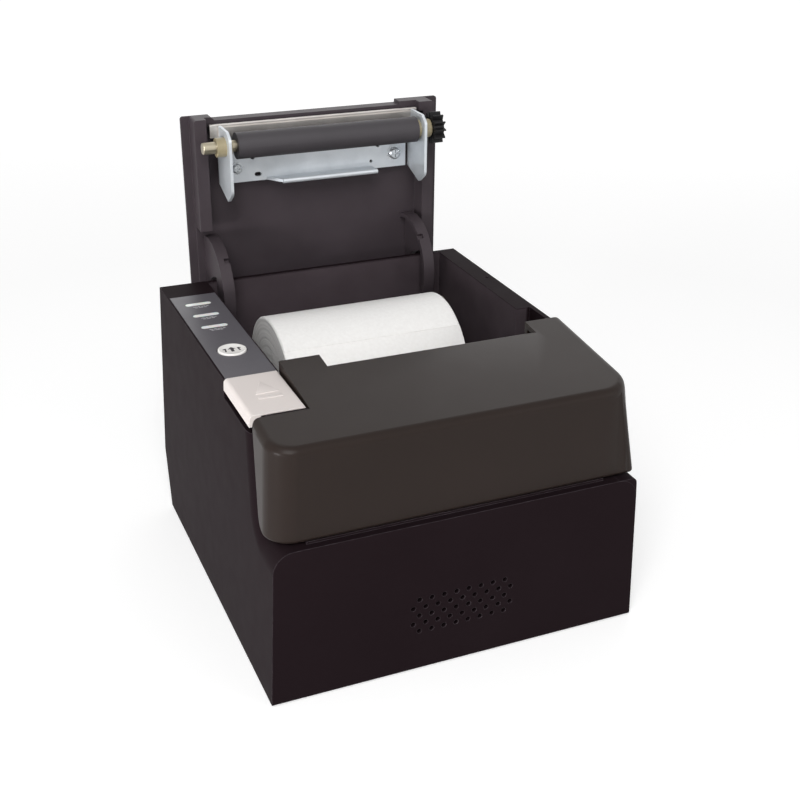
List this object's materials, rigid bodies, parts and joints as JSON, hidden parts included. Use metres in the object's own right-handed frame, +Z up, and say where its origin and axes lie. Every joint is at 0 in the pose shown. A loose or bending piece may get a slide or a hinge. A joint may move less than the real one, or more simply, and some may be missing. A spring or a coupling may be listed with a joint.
{
  "type": "receipt printer",
  "caption": "Desktop receipt printer with an open paper bay, a hinged lid carrying the platen roller and cutter edge, a domed front cover and a control strip with a lid release.",
  "frame": {"origin": "on the table, under the middle of the overall box with the lid standing open", "axes": "+X to the right seen from the front, +Y to the rear, +Z up"},
  "size_m": [0.1474, 0.178, 0.1695],
  "materials": {
    "casing_plastic": "fine-grained matt black moulding",
    "cover_plastic": "satin black moulding",
    "lid_plastic": "fine-grained matt black moulding",
    "label_film": "grey printed film",
    "lamp_plastic": "milky light guide",
    "feed_button_plastic": "smooth white moulding",
    "release_plastic": "pale grey moulding",
    "circuit_board": "green laminate",
    "dark_plastic": "plain black moulding",
    "bearing_plastic": "grey bearing plastic",
    "pin_steel": "turned steel",
    "paper": "matt white thermal paper, wound tight",
    "card": "wound grey-brown card",
    "zinc_sheet": "zinc-plated sheet",
    "blade_steel": "ground blade steel",
    "spring_steel": "sprung steel",
    "ceramic": "pale ceramic",
    "heat_sink": "plain extruded aluminium",
    "motor_can": "plated steel can",
    "foot_rubber": "soft black rubber",
    "roller_rubber": "ground dark grey rubber",
    "shaft_steel": "turned steel, a little yellowed",
    "screw_steel": "zinc-plated steel"
  },
  "bodies": {
    "base": {"main_housing": "casing_plastic", "base_tray": "casing_plastic", "front_cover": "cover_plastic", "control_label": "label_film", "led_light_bars": "lamp_plastic", "control_board": "circuit_board", "latch_pin": "pin_steel", "paper_bucket": "dark_plastic", "print_frame": "zinc_sheet", "thermal_head": "ceramic", "head_heat_sink": "heat_sink", "head_spring": "spring_steel", "cutter_frame": "dark_plastic", "cutter_motor": "motor_can", "feed_motor": "motor_can", "idler_stud": "pin_steel", "main_board": "circuit_board", "power_inlet": "dark_plastic", "usb_socket": "zinc_sheet", "drawer_socket": "dark_plastic", "power_switch_body": "dark_plastic", "rubber_feet": "foot_rubber", "case_screws": "screw_steel", "hinge_pins": "pin_steel"},
    "lid": {"lid_cover": "lid_plastic", "hinge_arms": "lid_plastic", "platen_bracket": "zinc_sheet", "fixed_blade": "blade_steel", "platen_bushings": "bearing_plastic", "bracket_screws": "screw_steel"},
    "platen": {"platen_rubber": "roller_rubber", "platen_shaft": "shaft_steel", "platen_gear": "dark_plastic"},
    "roll": {"paper_roll": "paper", "roll_core": "card"},
    "feed_key": {"feed_button": "feed_button_plastic"},
    "release_key": {"push_button": "release_plastic"},
    "latch": {"latch_lever": "dark_plastic"},
    "idler": {"idler_gear": "dark_plastic"},
    "pinion": {"motor_pinion": "dark_plastic"},
    "blade": {"moving_blade": "blade_steel"},
    "rocker": {"power_rocker": "dark_plastic"}
  },
  "joints": [
    {"name": "lid_hinge", "type": "hinge", "parent": "base", "child": "lid", "pos_m": [0, 0.06415, 0.0796], "axis": [-1, 0, 0], "range_deg": [-90, 0]},
    {"name": "platen_spin", "type": "hinge", "parent": "lid", "child": "platen", "pos_m": [0, 0.06905, 0.1598], "axis": [1, 0, 0], "continuous": true},
    {"name": "roll_spin", "type": "hinge", "parent": "base", "child": "roll", "pos_m": [0, 0.03535, 0.0635], "axis": [1, 0, 0], "continuous": true},
    {"name": "feed_press", "type": "slide", "parent": "base", "child": "feed_key", "axis": [0, 0, -1], "range_m": [0, 0.0008], "stiffness_N_per_m": 1200, "springref_m": -0.0002},
    {"name": "release_press", "type": "slide", "parent": "base", "child": "release_key", "axis": [0, 0, -1], "range_m": [0, 0.0025], "stiffness_N_per_m": 1500, "springref_m": -0.0006},
    {"name": "latch_turn", "type": "hinge", "parent": "base", "child": "latch", "pos_m": [0, -0.03265, 0.072], "axis": [1, 0, 0], "range_deg": [0, 12.4]},
    {"name": "idler_spin", "type": "hinge", "parent": "base", "child": "idler", "pos_m": [0.0572, -0.0295, 0.07207], "axis": [1, 0, 0], "continuous": true},
    {"name": "pinion_spin", "type": "hinge", "parent": "base", "child": "pinion", "pos_m": [0.0572, -0.04145, 0.0612], "axis": [1, 0, 0], "continuous": true},
    {"name": "cutter_slide", "type": "slide", "parent": "base", "child": "blade", "axis": [0, 1, 0], "range_m": [0, 0.0082]},
    {"name": "rocker_tip", "type": "hinge", "parent": "base", "child": "rocker", "pos_m": [0.034, 0.06865, 0.0335], "axis": [1, 0, 0], "range_deg": [0, 14]}
  ],
  "couplings": [
    {"joint": "latch_turn", "follows": "release_press", "rad_per_m": 86.482},
    {"joint": "pinion_spin", "follows": "idler_spin", "ratio": -1.6667}
  ]
}
